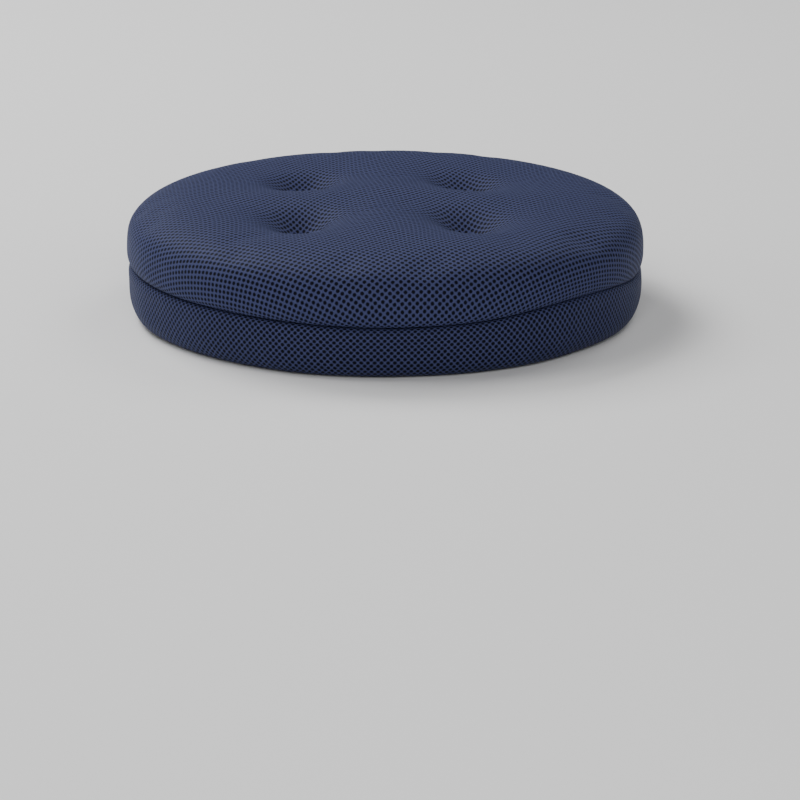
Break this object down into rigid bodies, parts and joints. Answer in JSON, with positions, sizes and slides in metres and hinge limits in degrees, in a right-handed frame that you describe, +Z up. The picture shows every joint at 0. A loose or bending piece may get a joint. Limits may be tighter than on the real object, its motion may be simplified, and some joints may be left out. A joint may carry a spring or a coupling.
{
  "type": "seat cushion",
  "caption": "Round tufted seat cushion in mesh fabric, with a padded skirt and elastic hem that wrap a stool's round seat, and a zip round the back of its waist seam.",
  "frame": {"origin": "centre of the underside face that rests on the stool's seat", "axes": "+Z up out of the seat, -Y towards the front, +Y towards the zip in the back of the waist seam, +X to the right"},
  "size_m": [0.326, 0.326, 0.0745],
  "materials": {
    "navy_mesh": "open spacer mesh with a lattice of small round holes, matt with a soft sheen",
    "navy_weave": "plain woven, matt",
    "black_knit": "fine stretch knit, matt",
    "grip_grey": "matt sheet with raised silicone dots",
    "soft_foam": "open-cell foam, matt",
    "firm_foam": "dense foam, matt",
    "wadding": "bonded fibre wadding, matt",
    "elastic": "ribbed knitted elastic",
    "twine": "waxed, twisted",
    "anchor_plastic": "moulded, satin",
    "zip_tape": "fine herringbone weave",
    "zip_coil": "wound nylon coil, satin",
    "zip_metal": "cast and plated, lightly worn"
  },
  "bodies": {
    "cushion": {"top_cover": "navy_mesh", "skirt_cover": "navy_mesh", "comfort_foam": "soft_foam", "support_foam": "firm_foam", "base_panel": "navy_weave", "grip_sheet": "grip_grey", "tuft_anchor_1": "anchor_plastic", "tuft_anchor_2": "anchor_plastic", "tuft_anchor_3": "anchor_plastic", "tuft_anchor_4": "anchor_plastic", "tuft_twine_1": "twine", "tuft_twine_2": "twine", "tuft_twine_3": "twine", "tuft_twine_4": "twine", "skirt_padding": "wadding", "skirt_lining": "black_knit", "hem_band": "black_knit", "hem_elastic": "elastic", "waist_seam_tape": "navy_weave", "zip_tape_upper": "zip_tape", "zip_tape_lower": "zip_tape", "zip_coil_upper": "zip_coil", "zip_coil_lower": "zip_coil", "zip_stop_start": "zip_metal", "zip_stop_end": "zip_metal"},
    "zip_slider": {"zip_slider": "zip_metal"},
    "zip_pull": {"zip_pull": "zip_metal"}
  },
  "joints": [
    {"name": "zip_slider_travel", "type": "hinge", "parent": "cushion", "child": "zip_slider", "pos_m": [0, 0, 0.0015], "axis": [0, 0, 1], "range_deg": [0, 138.8]},
    {"name": "zip_pull_swing", "type": "hinge", "parent": "zip_slider", "child": "zip_pull", "pos_m": [0.14794, 0.05561, 0.0015], "axis": [0, 0, -1], "range_deg": [0, 170]}
  ]
}
